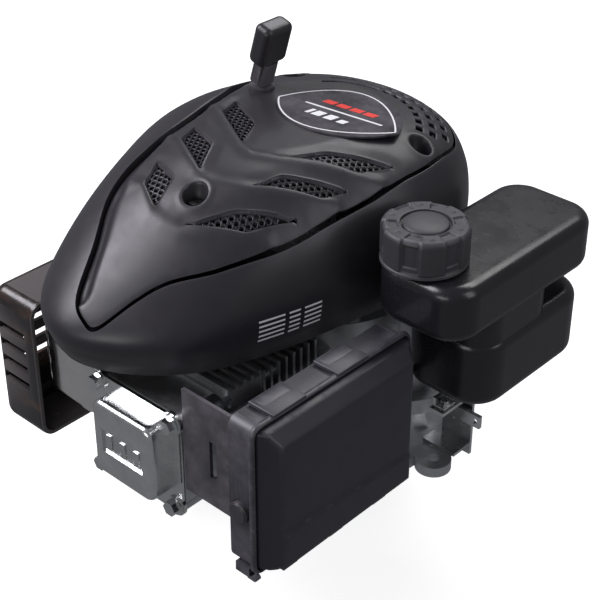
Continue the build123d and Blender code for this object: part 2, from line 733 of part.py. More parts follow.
def air_cover():
    y0, y1 = air_sides
    z0, z1 = air_levels
    seam, front = air_seam_x + clear, 136
    low = Plane.YZ.offset(seam) * Rectangle(y1 - y0, z1 - z0)
    high = Plane.YZ.offset(front) * Rectangle(y1 - y0 - 20, z1 - z0 - 18)
    centre = Pos(0, (y0 + y1) / 2, (z0 + z1) / 2)
    outer = centre * loft([low, high])
    low_in = Plane.YZ.offset(seam - 0.1) * Rectangle(y1 - y0 - 8, z1 - z0 - 8)
    high_in = Plane.YZ.offset(front - 3) * Rectangle(y1 - y0 - 26, z1 - z0 - 24)
    cover = outer - centre * loft([low_in, high_in])
    for y in (y0 + 18, y0 + 74):
        latch = block(air_back_x, seam + 4, y, y + 28, z1 - 1.4, z1 + 1.4)
        cover = cover + latch
    for y in (y0 + 14, y1 - 18):
        cover = cover + block(seam, seam + 4, y - 8, y + 8, hinge_z, z0 + 3)
        cover = cover + bar_y(hinge_x, hinge_z, y - 8, y + 8, hinge_radius)
    return cover


# ---- fuel system ----------------------------------------------------------------
def tank_outer(inset):
    """Upper and lower lobes, joined by a waist that leaves a notch at the rear."""
    upper = pillow(83 + inset, 156 - inset, -57 + inset, 98 - inset, 150 + inset, tank_top - inset,
                   22 - inset, 9 - inset * 0.5)
    lower = pillow(86 + inset, 157 - inset, -28 + inset, 90 - inset, tank_floor + inset, 138 - inset,
                   24 - inset, 9 - inset * 0.5)
    waist = pillow(90 + inset, 155 - inset, -26 + inset, 52 - inset, 98 + inset, 181 - inset,
                   20 - inset, 9 - inset * 0.5)
    return upper + waist + lower


def fuel_tank():
    neck = post(*cap_centre, tank_top - 8, tank_top + 6, 21)
    tank = tank_outer(0) + neck - tank_outer(3)
    tank = tank - post(*cap_centre, 170, 200, 18)
    outlet = bar_y(100, 98, -40, -26, 2.6) - bar_y(100, 98, -41, -20, 1.6)
    return tank + outlet


def cap_seal():
    x, y = cap_centre
    rim = tank_top + 6.3
    plug = post(x, y, rim - 10, rim + 1, 17.4) - post(x, y, rim - 11, rim - 2, 14.5)
    ring = post(x, y, rim, rim + 2.5, 21)
    return plug + ring + post(x, y, rim + 2.5, rim + 5.5, 6)


def fuel_cap():
    x, y = cap_centre
    skirt = tank_top + 0.6
    shell = post(x, y, skirt, cap_top, cap_radius)
    shell = chamfer(shell.edges().group_by(Axis.Z)[-1], 1.5)
    shell = shell - post(x, y, skirt - 1, cap_top - 5, cap_radius - 3)
    shell = shell + post(x, y, tank_top + 12.2, cap_top - 4, 5)
    for turn in range(12):
        flute = Rot(0, 0, turn * 30) * post(cap_radius + 3.6, 0, skirt + 6, cap_top + 1, 5)
        shell = shell - Pos(x, y, 0) * flute
    return shell


def fuel_hose():
    route = [(100, -40, 98), (100, -53, 98), (62, -53, 98), (62, -104, 98)]
    path = FilletPolyline(*route, radius=6)
    section = Plane(origin=route[0], z_dir=(0, -1, 0)) * (Circle(4.4) - Circle(2.6))
    return sweep(section, path=path)


# ---- ignition, brake and controls -----------------------------------------------
def ignition_coil():
    core = block(-16, 16, 70, 74, 150, 166)
    core = core + block(-16, -8, 69, 92, 150, 166) + block(8, 16, 69, 92, 150, 166)
    feet = post(-12, 86, hood_floor_z + 4, 152, 4) + post(12, 86, hood_floor_z + 4, 152, 4)
    return core + block(-14, 14, 78, 90, 147, 169) + feet


def spark_plug():
    thread = Pos(0, 0, -9.5) * Cylinder(plug_radius, 19)
    hexagon = extrude(RegularPolygon(10, 6), 9)
    insulator = Pos(0, 0, 18) * Cylinder(5.5, 20)
    return plug_place() * (thread + hexagon + insulator)


def plug_boot():
    boot = Pos(0, 0, 24) * Cylinder(8.5, 26) - Pos(0, 0, 18) * Cylinder(5.5, 20)
    return plug_place() * boot


def ignition_lead():
    """The high-tension lead, clipped round the left of the flywheel under its rim."""
    boot_end = (plug_place() * Pos(0, 0, 37.05)).position
    above = (plug_place() * Pos(0, 0, 54)).position
    route = [
        (boot_end.X, boot_end.Y, boot_end.Z), (above.X, above.Y, above.Z), (-72, -122, 150),
        (-92, -62, 142), (-92, 14, 142), (-66, 62, 150), (-34, 84, 158), (-16.05, 84, 158),
    ]
    path = FilletPolyline(*route, radius=8)
    return sweep(Plane(origin=route[0], z_dir=path % 0) * Circle(3.2), path=path)


def side_panel():
    panel = block(47, 99, -186, -183.5, 62, 140)
    return panel - block(70, 76, -190, -180, 84, 112)


def control_bracket():
    arm = block(93, 118, 20, 22.5, 8, 62) + block(84, 112, 10, 22.5, 8, 10.5)
    arm = arm + block(106, 118, -14, 22.5, 59.5, 62) - post(113, -6, 50, 70, 1.6)
    pivot = bar_y(100, 44, 12, 21, 4)
    return arm + pivot


def cable_clamp():
    clamp = block(107, 117, -12, 0, 62, 64.5) + block(107, 109.5, -12, 0, 64, 70)
    screw = Pos(113, -6, 64.5) * hex_bolt(1.6, 5, 3.2, 3)
    return clamp + screw


def brake_lever():
    plate = block(94, 106, 15, 18, 36, 50) + block(94, 102, 15, 18, 50, 66)
    plate = plate + block(100, 128, 15, 18, 38, 48)
    hole = bar_y(100, 44, 10, 24, 4 + running_gap)
    eye = bar_y(124, 43, 10, 24, 2.2)
    return plate - hole - eye


# ---- bearings and seals ---------------------------------------------------------
def main_bearings():
    lower = post(0, 0, 10, 36, 17.0) - post(0, 0, 9, 37, journal_radius + running_gap)
    upper = post(0, 0, 104, 119, 21.0) - post(0, 0, 103, 120, 12.5 + running_gap)
    return [lower, upper]


def oil_seals():
    lower = post(0, 0, 2.5, 8, 18.0) - post(0, 0, 1, 9, journal_radius + running_gap)
    upper = post(0, 0, 124, 132, 21.0) - post(0, 0, 123, 133, 12.5 + running_gap)
    return [lower, upper]


# ---- write every node -----------------------------------------------------------
save("crankcase", crankcase())
save("sump", sump())
save("gaskets", *gaskets())
save("main_bearings", *main_bearings())
save("oil_seals", *oil_seals())
save("flange_bolts", *flange_bolts())
save("cylinder_head", cylinder_head())
save("rocker_shaft", rocker_shaft())
save("valve_cover", valve_cover())
save("valve_cover_bolts", *valve_cover_bolts())
save("spark_plug", spark_plug())
save("plug_boot", plug_boot())
save("ignition_lead", ignition_lead())
save("crankshaft", *crankshaft())
save("crankpin", crankpin())
save("connecting_rod", *connecting_rod())
save("piston", piston())
save("piston_rings", *piston_rings())
save("gudgeon_pin", post(0, -crank_throw - rod_length, bore_z - 25, bore_z + 25, 6.0))
save("camshaft", camshaft())
for valve_name in valve_levels:
    save(f"{valve_name}_pushrod", pushrod(valve_name))
    save(f"{valve_name}_rocker", rocker(valve_name))
    save(f"{valve_name}_valve", valve(valve_name))
    save(f"{valve_name}_spring", valve_spring(valve_name))
save("flywheel", flywheel())
save("starter_cup", starter_cup())
save("flywheel_nut", flywheel_nut())
save("starter_pulley", starter_pulley())
save("rope_coil", rope_coil())
save("recoil_spring", recoil_spring())
hood = hood_shell()
save("blower_housing", blower_housing(hood))
save("top_cover", top_cover(hood))
save("cover_screws", *cover_screws())
save("label_plate", label_plate())
save("rope_guide", rope_guide())
save("starter_grip", starter_grip())
save("rope_knot", rope_knot())
save("starter_rope", starter_rope())
save("muffler", muffler())
save("muffler_guard", muffler_guard())
save("exhaust_bolts", *exhaust_bolts())
save("intake_insulator", intake_insulator())
save("carburetor", carburetor())
save("air_base", air_base())
save("primer_button", primer_button())
save("air_filter", air_filter())
save("air_cover", air_cover())
save("fuel_tank", fuel_tank())
save("cap_seal", cap_seal())
save("fuel_cap", fuel_cap())
save("fuel_hose", fuel_hose())
save("ignition_coil", ignition_coil())
save("side_panel", side_panel())
save("control_bracket", control_bracket())
save("cable_clamp", cable_clamp())
save("brake_lever", brake_lever())
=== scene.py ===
import json
import math

import bmesh
import bpy
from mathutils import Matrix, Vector
from mathutils.bvhtree import BVHTree
from mathutils.geometry import delaunay_2d_cdt


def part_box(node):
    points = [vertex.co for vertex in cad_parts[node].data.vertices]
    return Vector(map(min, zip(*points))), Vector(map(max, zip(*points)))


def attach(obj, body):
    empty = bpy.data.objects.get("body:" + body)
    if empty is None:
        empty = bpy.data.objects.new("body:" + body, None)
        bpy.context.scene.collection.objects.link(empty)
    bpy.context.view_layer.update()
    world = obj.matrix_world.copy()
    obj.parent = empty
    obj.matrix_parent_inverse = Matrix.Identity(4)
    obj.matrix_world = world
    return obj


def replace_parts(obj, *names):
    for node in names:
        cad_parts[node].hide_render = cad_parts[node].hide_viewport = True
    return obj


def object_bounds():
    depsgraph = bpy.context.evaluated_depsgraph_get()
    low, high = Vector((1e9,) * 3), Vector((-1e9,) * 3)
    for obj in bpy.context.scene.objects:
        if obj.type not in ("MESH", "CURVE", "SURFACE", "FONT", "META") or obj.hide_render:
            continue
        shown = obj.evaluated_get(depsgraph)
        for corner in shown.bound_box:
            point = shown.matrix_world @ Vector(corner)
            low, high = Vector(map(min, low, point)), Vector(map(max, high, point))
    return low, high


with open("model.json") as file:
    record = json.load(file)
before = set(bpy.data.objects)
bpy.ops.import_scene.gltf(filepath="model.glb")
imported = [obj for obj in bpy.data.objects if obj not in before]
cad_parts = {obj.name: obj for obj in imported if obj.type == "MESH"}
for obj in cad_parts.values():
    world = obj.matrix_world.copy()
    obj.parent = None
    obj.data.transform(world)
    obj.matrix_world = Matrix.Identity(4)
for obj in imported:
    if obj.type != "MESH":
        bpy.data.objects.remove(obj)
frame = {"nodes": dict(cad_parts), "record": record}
cad_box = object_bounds()
MM = 0.001
nodes = frame["nodes"]


# ---- materials --------------------------------------------------------------------
class Surface:
    """A material's node tree, with short calls for the nodes that every finish needs."""

    def __init__(self, name):
        self.material = bpy.data.materials.new(name)
        self.material.use_nodes = True
        self.tree = self.material.node_tree
        self.shader = self.tree.nodes["Principled BSDF"]
        self.place = self.add("ShaderNodeTexCoord").outputs["Object"]
        self.height = None

    def add(self, kind, **settings):
        node = self.tree.nodes.new(kind)
        for key, value in settings.items():
            setattr(node, key, value)
        return node

    def link(self, out, into):
        self.tree.links.new(out, into)

    def stretched(self, scale):
        mapping = self.add("ShaderNodeMapping")
        mapping.inputs["Scale"].default_value = scale
        self.link(self.place, mapping.inputs["Vector"])
        return mapping.outputs["Vector"]

    def noise(self, scale, detail=4.0, rough=0.6, stretch=None):
        node = self.add("ShaderNodeTexNoise")
        node.inputs["Scale"].default_value = scale
        node.inputs["Detail"].default_value = detail
        node.inputs["Roughness"].default_value = rough
        self.link(self.stretched(stretch) if stretch else self.place, node.inputs["Vector"])
        return node.outputs["Fac"]

    def span(self, value, low, high, to_low, to_high):
        node = self.add("ShaderNodeMapRange")
        node.inputs["From Min"].default_value = low
        node.inputs["From Max"].default_value = high
        node.inputs["To Min"].default_value = to_low
        node.inputs["To Max"].default_value = to_high
        self.link(value, node.inputs["Value"])
        return node.outputs["Result"]

    def mix(self, share, first, second):
        node = self.add("ShaderNodeMix", data_type="RGBA")
        self.link(share, node.inputs["Factor"])
        for value, socket in ((first, node.inputs[6]), (second, node.inputs[7])):
            if isinstance(value, tuple):
                socket.default_value = (*value, 1)
            else:
                self.link(value, socket)
        return node.outputs[2]

    def edges(self, low=0.52, high=0.60):
        """1 on sharp outer edges, 0 elsewhere."""
        return self.span(self.add("ShaderNodeNewGeometry").outputs["Pointiness"], low, high, 0, 1)

    def color(self, value):
        self.link(value, self.shader.inputs["Base Color"])

    def rough(self, value):
        self.link(value, self.shader.inputs["Roughness"])

    def bump(self, value, distance, strength=1.0):
        node = self.add("ShaderNodeBump")
        node.inputs["Distance"].default_value = distance
        node.inputs["Strength"].default_value = strength
        self.link(value, node.inputs["Height"])
        if self.height:
            self.link(self.height, node.inputs["Normal"])
        self.height = node.outputs["Normal"]
        self.link(self.height, self.shader.inputs["Normal"])

    def fixed(self, **values):
        for key, value in values.items():
            self.shader.inputs[key.replace("_", " ")].default_value = value


def plastic(name, dark, light, rough, grain=2600.0, grain_depth=0.00004, worn=(0.16, 0.15, 0.17)):
    """Moulded plastic: fine grain, slow changes of tone and gloss, edges rubbed paler."""
    s = Surface(name)
    cloud = s.noise(9.0, 5.0)
    tone = s.mix(s.span(cloud, 0.3, 0.7, 0, 1), dark, light)
    scuff = s.noise(60.0, 6.0, 0.7)
    rubbed = s.add("ShaderNodeMath", operation="MULTIPLY")
    s.link(s.edges(), rubbed.inputs[0])
    s.link(s.span(scuff, 0.35, 0.7, 0.15, 0.6), rubbed.inputs[1])
    s.color(s.mix(rubbed.outputs[0], tone, worn))
    s.rough(s.span(scuff, 0.3, 0.75, rough - 0.05, rough + 0.07))
    s.bump(s.noise(grain, 2.0, 0.5), grain_depth, 0.6)
    s.bump(s.noise(22.0, 2.0), 0.0006, 0.12)
    return s.material


def metal(name, dark, light, rough, brushed=None, pits=0.0, grain=900.0):
    """Bare metal: tool marks or casting skin, and uneven oxide."""
    s = Surface(name)
    cloud = s.noise(35.0, 6.0, 0.7)
    s.color(s.mix(s.span(cloud, 0.3, 0.7, 0, 1), dark, light))
    s.rough(s.span(s.noise(90.0, 5.0, 0.7), 0.3, 0.7, rough - 0.06, rough + 0.09))
    if brushed:
        s.bump(s.noise(grain, 3.0, 0.6, brushed), 0.00003, 0.5)
    if pits:
        s.bump(s.noise(420.0, 3.0, 0.6), pits, 0.7)
        s.bump(s.noise(1500.0, 2.0, 0.6), pits * 0.4, 0.5)
    s.fixed(Metallic=1.0)
    return s.material


def rubber(name, tone, rough):
    s = Surface(name)
    dust = s.noise(70.0, 6.0, 0.7)
    s.color(s.mix(s.span(dust, 0.4, 0.75, 0, 1), tone, tuple(min(1, c * 2.2 + 0.01) for c in tone)))
    s.rough(s.span(dust, 0.3, 0.7, rough - 0.08, rough + 0.1))
    s.bump(s.noise(1400.0, 2.0), 0.00004, 0.5)
    return s.material


def enamel(name):
    """Gloss black heat-proof paint, browned in patches by the exhaust."""
    s = Surface(name)
    heat = s.noise(14.0, 4.0, 0.6, (1, 1, 2.2))
    tone = s.mix(s.span(heat, 0.5, 0.68, 0, 0.75), (0.012, 0.011, 0.012), (0.085, 0.045, 0.028))
    s.color(s.mix(s.edges(), tone, (0.10, 0.09, 0.09)))
    s.rough(s.span(s.noise(120.0, 5.0, 0.7), 0.3, 0.7, 0.16, 0.30))
    s.bump(s.noise(260.0, 2.0), 0.00012, 0.35)
    return s.material


def braid(name):
    """Braided cord: crossing plaits."""
    s = Surface(name)
    wave = s.add("ShaderNodeTexWave", bands_direction="DIAGONAL")
    wave.inputs["Scale"].default_value = 420.0
    wave.inputs["Distortion"].default_value = 1.5
    s.link(s.place, wave.inputs["Vector"])
    s.color(s.mix(wave.outputs["Fac"], (0.34, 0.33, 0.30), (0.72, 0.70, 0.64)))
    s.rough(s.span(wave.outputs["Fac"], 0, 1, 0.75, 0.9))
    s.bump(wave.outputs["Fac"], 0.0004, 0.8)
    return s.material


def paint(name, tone, rough):
    """Printed ink, with slightly uneven cover."""
    s = Surface(name)
    patch = s.noise(160.0, 5.0, 0.7)
    s.color(s.mix(s.span(patch, 0.3, 0.8, 0, 1), tone, tuple(c * 0.82 for c in tone)))
    s.rough(s.span(patch, 0.3, 0.7, rough - 0.05, rough + 0.08))
    s.bump(s.noise(1800.0, 2.0), 0.00002, 0.4)
    return s.material


hood_black = plastic("hood_black", (0.016, 0.015, 0.018), (0.022, 0.020, 0.025), 0.38)
cover_black = plastic("cover_black", (0.017, 0.016, 0.019), (0.025, 0.023, 0.028), 0.40)
case_black = plastic("case_black", (0.015, 0.015, 0.021), (0.022, 0.022, 0.030), 0.40)
tank_black = plastic("tank_black", (0.010, 0.010, 0.012), (0.016, 0.015, 0.019), 0.27, 900.0, 0.00003)
cap_black = plastic("cap_black", (0.030, 0.030, 0.034), (0.045, 0.044, 0.050), 0.50, 1500.0, 0.00012,
                    (0.20, 0.20, 0.22))
grip_black = plastic("grip_black", (0.016, 0.015, 0.017), (0.026, 0.024, 0.028), 0.36, 1800.0, 0.00005)
resin_black = plastic("resin_black", (0.010, 0.010, 0.011), (0.018, 0.018, 0.019), 0.55)
gloss_black = plastic("gloss_black", (0.012, 0.012, 0.014), (0.020, 0.020, 0.023), 0.12, 1200.0, 0.00001)
cast_alloy = metal("cast_alloy", (0.42, 0.43, 0.44), (0.60, 0.61, 0.62), 0.42, pits=0.00022)
machined = metal("machined", (0.50, 0.50, 0.51), (0.66, 0.66, 0.66), 0.28, brushed=(1, 1, 14))
zinc = metal("zinc", (0.58, 0.60, 0.60), (0.80, 0.81, 0.80), 0.22, brushed=(3, 3, 3), grain=500.0)
polished = metal("polished", (0.72, 0.71, 0.69), (0.85, 0.84, 0.82), 0.12, brushed=(1, 6, 1), grain=300.0)
black_oxide = metal("black_oxide", (0.05, 0.05, 0.05), (0.10, 0.10, 0.10), 0.38, brushed=(2, 2, 2))
bearing = metal("bearing", (0.52, 0.46, 0.38), (0.66, 0.60, 0.50), 0.30, brushed=(1, 1, 9))
black_rubber = rubber("black_rubber", (0.012, 0.012, 0.012), 0.55)
gasket_grey = rubber("gasket_grey", (0.10, 0.11, 0.10), 0.8)
filter_paper = rubber("filter_paper", (0.42, 0.36, 0.20), 0.85)
guard_enamel = enamel("guard_enamel")
cord_braid = braid("cord_braid")
white_ink = paint("white_ink", (0.78, 0.78, 0.80), 0.35)
red_ink = paint("red_ink", (0.75, 0.03, 0.02), 0.35)

finish_of_slot = {
    "cast_aluminium": cast_alloy, "steel": machined, "piston_alloy": machined, "bearing_metal": bearing,
    "bright_zinc": zinc, "chrome": polished, "guard_enamel": guard_enamel, "seal_rubber": black_rubber,
    "gasket_fibre": gasket_grey, "housing_plastic": hood_black, "cover_plastic": cover_black,
    "label_gloss": gloss_black, "black_screw": black_oxide, "grip_plastic": grip_black,
    "rope_cord": cord_braid, "air_case_plastic": case_black, "filter_paper": filter_paper,
    "tank_plastic": tank_black, "cap_plastic": cap_black, "coil_resin": resin_black,
}
for part in frame["record"]["subparts"]:
    mesh = nodes[part["node"]].data
    mesh.materials.clear()
    mesh.materials.append(finish_of_slot[part["material_slot"]])


# ---- mesh helpers -----------------------------------------------------------------
def piece(name, verts, faces, material, body, smooth=True, angle=35):
    """A mesh piece in millimetres that rides on a body."""
    mesh = bpy.data.meshes.new(name)
    mesh.from_pydata([Vector(v) * MM for v in verts], [], faces)
    mesh.validate()
    bm = bmesh.new()
    bm.from_mesh(mesh)
    bmesh.ops.recalc_face_normals(bm, faces=bm.faces)
    bm.to_mesh(mesh)
    bm.free()
    made = bpy.data.objects.new(name, mesh)
    bpy.context.scene.collection.objects.link(made)
    mesh.materials.append(material)
    if smooth:
        mesh.shade_smooth()
        mesh.set_sharp_from_angle(angle=math.radians(angle))
    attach(made, body)
    return made


def curve_point(points, place, closed):
    """Where a smooth curve through the points is, at a place counted in points."""
    first = math.floor(place)
    part = place - first
    near = []
    for index in range(first - 1, first + 3):
        held = min(max(index, 0), len(points) - 1)
        near.append(points[index % len(points)] if closed else points[held])
    found = []
    for before, start, end, after in zip(*near):
        bend = 2 * before - 5 * start + 4 * end - after
        twist = 3 * start - before - 3 * end + after
        found.append(start + 0.5 * part * (end - before + part * (bend + part * twist)))
    return found


def smooth_loop(points, count):
    return [tuple(curve_point(points, len(points) * k / count, True)) for k in range(count)]


def inside(x, y, loop):
    found = False
    for (ax, ay), (bx, by) in zip(loop, loop[1:] + loop[:1]):
        if (ay > y) != (by > y) and x < (bx - ax) * (y - ay) / (by - ay) + ax:
            found = not found
    return found


def distance_to(x, y, loop, closed=True):
    """How far a point is from an outline."""
    best = 1e9
    ends = loop[1:] + loop[:1] if closed else loop[1:]
    for (ax, ay), (bx, by) in zip(loop, ends):
        dx, dy = bx - ax, by - ay
        part = ((x - ax) * dx + (y - ay) * dy) / max(dx * dx + dy * dy, 1e-9)
        part = min(max(part, 0), 1)
        best = min(best, math.hypot(x - ax - part * dx, y - ay - part * dy))
    return best


def ease(value, low, high):
    part = min(max((value - low) / (high - low), 0), 1)
    return part * part * (3 - 2 * part)


# ---- the hood's shape ---------------------------------------------------------------
# Plan of the housing at its widest, its levels (height, nose reach, side inset), and the
# joint between housing and cover, in millimetres, as the CAD has them.
hood_plan = [
    (-40, -214), (6, -200), (42, -163), (62, -110), (74, -52), (82, 0), (79, 46), (50, 87),
    (-4, 104), (-62, 92), (-104, 53), (-125, -8), (-125, -72), (-108, -134), (-82, -188),
]
hood_levels = [
    (131, 204, 9), (144, 211, 4), (160, 213, 1), (180, 194, 0),
    (202, 166, 3), (222, 136, 13), (235, 106, 32), (240, 80, 54),
]
hood_centre_x = -20.0
crown = 240.0
joint_plan = [
    (-19, -205), (-8, -202), (4, -181), (14, -165), (35, -139), (52, -105), (63, -59),
    (70, -10), (70, 29), (59, 62), (29, 81), (-14, 87), (-56, 77), (-84, 46), (-92, 8),
    (-84, -20), (-74, -64), (-70, -101), (-69, -124), (-63, -145), (-46, -171), (-33, -198),
]
skin = 3.0


def hood_point(around, level):
    z, nose, inset = curve_point(hood_levels, level, False)
    x, y = curve_point(hood_plan, around, True)
    side = 1 - inset / 104
    return (hood_centre_x + (x - hood_centre_x) * side, y * (nose / 215.4 if y < 0 else side), z)


def hood_tree():
    """The whole hood surface as a search tree, to find heights on it."""
    turns, rows = 300, 140
    verts = [hood_point(len(hood_plan) * t / turns, 7 * r / rows) for r in range(rows + 1)
             for t in range(turns)]
    faces = []
    for r in range(rows):
        for t in range(turns):
            n = (t + 1) % turns
            faces.append((r * turns + t, r * turns + n, (r + 1) * turns + n, (r + 1) * turns + t))
    verts.append((hood_centre_x, 0, crown))
    last = rows * turns
    faces += [(last + t, last + (t + 1) % turns, len(verts) - 1) for t in range(turns)]
    return BVHTree.FromPolygons([Vector(v) for v in verts], faces)


hood_skin = hood_tree()


def hood_height(x, y):
    hit = hood_skin.ray_cast(Vector((x, y, 300)), Vector((0, 0, -1)))
    return hit[0].z if hit[0] else 130.0


joint = smooth_loop(joint_plan, 264)


# ---- blower housing ---------------------------------------------------------------
def housing():
    """The lower shroud: rim, side wall and the rounded lip round the cover's opening."""
    turns = 330
    columns = []
    for t in range(turns):
        around = len(hood_plan) * t / turns
        low, high = 0.0, 7.0
        for _ in range(24):
            middle = (low + high) / 2
            x, y, z = hood_point(around, middle)
            if z > 150 and inside(x, y, joint):
                high = middle
            else:
                low = middle
        columns.append((around, low))
    rows = 46
    verts, faces = [], []
    for around, top in columns:
        outer = [Vector(hood_point(around, top * r / rows)) for r in range(rows + 1)]
        x, y, z = outer[0]
        inward = Vector((hood_centre_x - x, -y * 0.8, 0)).normalized()
        turn = math.atan2(y, x)
        floor = outer[0] + inward * 2.6 + Vector((0, 0, 2.6))
        rim = [Vector((58 * math.cos(turn), 58 * math.sin(turn), floor.z)), floor,
               outer[0] + inward * 2.6 + Vector((0, 0, 0.6)), outer[0] + inward * 2.0,
               outer[0] + inward * 0.6]
        outer[0] = outer[0] + Vector((0, 0, 0.6))
        edge = outer[-1]
        slope = (outer[-1] - outer[-2]).normalized()
        lip = [edge + slope * 0.5 + Vector((0, 0, -0.35)), edge + slope * 0.8 + Vector((0, 0, -1.2)),
               edge + slope * 0.8 + Vector((0, 0, -6.0))]
        over = Vector((slope.x, slope.y, 0)).normalized()
        lip += [lip[-1] + over * 1.0 + Vector((0, 0, -0.8)), lip[-1] + over * 12 + Vector((0, 0, -1.0))]
        verts += rim + outer + lip
    height = len(verts) // turns
    for t in range(turns):
        n = (t + 1) % turns
        for r in range(height - 1):
            faces.append((t * height + r, n * height + r, n * height + r + 1, t * height + r + 1))
    made = piece("shroud_skin", verts, faces, hood_black, "engine", angle=40)
    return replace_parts(made, "blower_housing")


# ---- top cover --------------------------------------------------------------------
# Each vent's plan: inner tip, rear corner, outer tip, front corner.
vent_plans = [
    [(-16, -67), (-32, -37), (-66, -22), (-60, -42)],
    [(-16, -105), (-31, -78), (-59, -68), (-54, -86)],
    [(-22, -139), (-28, -116), (-51, -109), (-44, -128)],
    [(14, -63), (28, -36), (63, -6), (53, -33)],
    [(18, -95), (25, -74), (58, -45), (52, -65)],
    [(1, -138), (21, -111), (52, -84), (35, -116)],
]
# Crests of the three chevron ridges in front of the vents.
crest_lines = [
    [(-73, -40), (-60, -45), (-34, -60), (-16, -70), (-2, -74),
     (14, -66), (34, -51), (54, -36), (66, -24)],
    [(-66, -88), (-54, -89), (-34, -100), (-16, -108), (0, -107),
     (18, -98), (35, -84), (53, -68), (60, -60)],
    [(-60, -131), (-45, -131), (-33, -138), (-22, -143), (-10, -143),
     (2, -141), (18, -131), (36, -119), (46, -108)],
]
screw_places = [(-6, -119, 8.2), (58, 24, 7.6), (-70, 40, 8.2)]
# The dip along the cover's left edge.
trough_line = [
    (-92, 20), (-86, -16), (-75, -62), (-70, -100), (-66, -126), (-58, -148), (-45, -169), (-33, -194),
]


def rounded(points, size, steps=4):
    """An outline with its corners rounded off."""
    loop = []
    for before, here, after in zip(points[-1:] + points[:-1], points, points[1:] + points[:1]):
        here = Vector(here)
        back = Vector(before) - here
        on = Vector(after) - here
        start = here + back.normalized() * min(size, back.length * 0.45)
        end = here + on.normalized() * min(size, on.length * 0.45)
        for k in range(steps + 1):
            t = k / steps
            loop.append(tuple(start * (1 - t) ** 2 + here * 2 * t * (1 - t) + end * t * t))
    return loop


def resample(loop, step):
    """The outline with points at an even spacing."""
    result = []
    for a, b in zip(loop, loop[1:] + loop[:1]):
        a, b = Vector(a), Vector(b)
        count = max(1, round((b - a).length / step))
        result += [tuple(a.lerp(b, k / count)) for k in range(count)]
    return result


def grown(loop, by):
    """The outline moved outwards; inwards if by is negative."""
    moved = []
    area = sum(a[0] * b[1] - b[0] * a[1] for a, b in zip(loop, loop[1:] + loop[:1]))
    sign = 1 if area > 0 else -1
    for before, here, after in zip(loop[-1:] + loop[:-1], loop, loop[1:] + loop[:1]):
        along = (Vector(after) - Vector(before))
        if along.length < 1e-6:
            moved.append(here)
            continue
        along.normalize()
        moved.append((here[0] + along.y * sign * by, here[1] - along.x * sign * by))
    return moved


def arc_loop(radius, half_width, start, end):
    """A curved slot about the crank axis, its angles in degrees."""
    steps = max(6, int(abs(end - start) / 4))
    turn = [math.radians(start + (end - start) * k / steps) for k in range(steps + 1)]
    outer = [((radius + half_width) * math.cos(a), (radius + half_width) * math.sin(a)) for a in turn]
    inner = [((radius - half_width) * math.cos(a), (radius - half_width) * math.sin(a)) for a in turn[::-1]]
    return rounded(outer + inner, 1.2, 2)


vents = [rounded(plan, 3.5) for plan in vent_plans]
grille = [arc_loop(59, 2.1, 97, 138), arc_loop(68.5, 2.1, 97, 132)]
for first in range(34, 92, 9):
    grille.append(arc_loop(59.5, 2.6, first, first + 6.4))
    grille.append(arc_loop(68.5, 2.4, first + 1, first + 7))
for first in range(40, 96, 8):
    grille.append(arc_loop(77, 2.2, first, first + 5.2))


def lens_outline(grow):
    """The name plate's outline: two arcs between its tips."""
    left, right = Vector((-48 - grow, -1)), Vector((50 + grow, 10))
    loop = []
    front, rear = Vector((-2, -24 - grow)), Vector((-6, 43 + grow))
    for start, end, through in ((left, right, front), (right, left, rear)):
        middle = (start + end) / 2
        sag = through - middle
        for k in range(28):
            t = k / 28
            bulge = 4 * t * (1 - t)
            loop.append(tuple(start.lerp(end, t) + sag * bulge ** 0.93))
    return rounded(resample(loop, 3), 1.0, 2)


def relief(x, y):
    """How far the cover's face stands above or below the hood's smooth surface."""
    rise = 0.0
    for line in crest_lines:
        away = distance_to(x, y, line, False)
        if away < 16:
            rise += 1.3 * math.exp(-(away / 4.2) ** 2)
    for number, loop in enumerate(vents):
        away = distance_to(x, y, loop)
        if inside(x, y, loop):
            rise -= 2.6 * ease(away, -0.2, 1.4)
        elif away < 26:
            front = crest_lines[number % 3]
            behind = distance_to(x, y, front, False)
            rise -= 0.9 * (1 - ease(away, 0, 9)) * ease(behind, 2, 8)
    away = distance_to(x, y, trough_line, False)
    if away < 16:
        rise -= 5.0 * (1 - ease(away, 3.5, 9))
    for sx, sy, radius in screw_places:
        away = math.hypot(x - sx, y - sy)
        if away < radius + 6:
            rise += 0.5 * math.exp(-((away - radius - 1.8) / 1.6) ** 2)
    return rise


def circle(x, y, radius, count=36):
    turns = (2 * math.pi * k / count for k in range(count))
    return [(x + radius * math.cos(a), y + radius * math.sin(a)) for a in turns]


